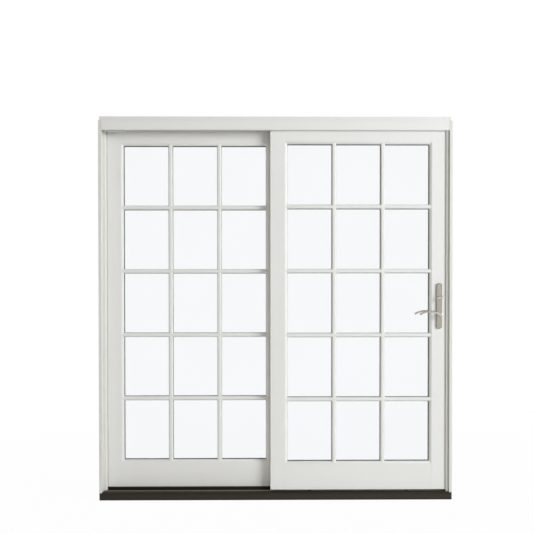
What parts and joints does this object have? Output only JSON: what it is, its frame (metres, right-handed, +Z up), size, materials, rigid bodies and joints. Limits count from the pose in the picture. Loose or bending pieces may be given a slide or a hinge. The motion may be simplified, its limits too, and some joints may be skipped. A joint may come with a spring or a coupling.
{
  "type": "sliding patio door",
  "caption": "White sliding patio door in its frame: a fixed and a gliding glazed panel with grille bars, lever handle set and dark sill.",
  "frame": {"origin": "middle of the sill's underside", "axes": "+X to the right seen from indoors, +Y towards the outside, +Z up"},
  "size_m": [1.86, 0.186, 2.019],
  "materials": {
    "white_paint": "satin white paint",
    "dark_bronze": "dark bronze sill extrusion",
    "track_metal": "dark bronze anodised track",
    "satin_nickel": "satin nickel",
    "clear_glass": "clear insulated glass",
    "dark_spacer": "dark spacer bar",
    "black_seal": "black seal",
    "grey_seal": "grey seal",
    "white_nylon": "off-white nylon",
    "black_acetal": "black acetal wheels"
  },
  "bodies": {
    "frame": {"sill": "dark_bronze", "sill_end_caps": "dark_bronze", "sill_lip": "dark_bronze", "slide_track": "track_metal", "head_jamb": "white_paint", "head_fascia": "white_paint", "left_jamb": "white_paint", "right_jamb": "white_paint", "left_jamb_stop": "white_paint", "left_back_stop": "white_paint", "right_back_stop": "white_paint", "lock_jamb_cover": "white_paint", "lock_jamb_seal": "grey_seal", "head_guide": "white_nylon", "travel_stop": "white_nylon", "strike_plate": "satin_nickel", "meeting_seal": "black_seal", "fixed_jamb_stile": "white_paint", "fixed_meeting_stile": "white_paint", "fixed_top_rail": "white_paint", "fixed_bottom_rail": "white_paint", "fixed_front_grille": "white_paint", "fixed_back_grille": "white_paint", "fixed_glass": "clear_glass", "fixed_spacer_grid": "dark_spacer"},
    "sliding_panel": {"sliding_meeting_stile": "white_paint", "sliding_lock_stile": "white_paint", "sliding_top_rail": "white_paint", "sliding_bottom_rail": "white_paint", "sliding_front_grille": "white_paint", "sliding_back_grille": "white_paint", "sliding_glass": "clear_glass", "sliding_spacer_grid": "dark_spacer", "panel_rollers": "black_acetal", "lock_faceplate": "satin_nickel", "front_handle_plate": "satin_nickel", "back_handle_plate": "satin_nickel", "key_cylinder": "satin_nickel"},
    "levers": {"front_lever": "satin_nickel", "back_lever": "satin_nickel", "lever_spindle": "satin_nickel"},
    "thumb_turn": {"thumb_turn": "satin_nickel"}
  },
  "joints": [
    {"name": "panel_slide", "type": "slide", "parent": "frame", "child": "sliding_panel", "axis": [-1, 0, 0], "range_m": [0, 0.704]},
    {"name": "lever_turn", "type": "hinge", "parent": "sliding_panel", "child": "levers", "pos_m": [0.863, -0.036, 0.9785], "axis": [0, -1, 0], "range_deg": [0, 45], "stiffness_Nm_per_rad": 1.5, "springref_deg": -34.38},
    {"name": "thumb_turn_turn", "type": "hinge", "parent": "sliding_panel", "child": "thumb_turn", "pos_m": [0.863, -0.068, 1.067], "axis": [0, -1, 0], "range_deg": [-20, 70]}
  ]
}
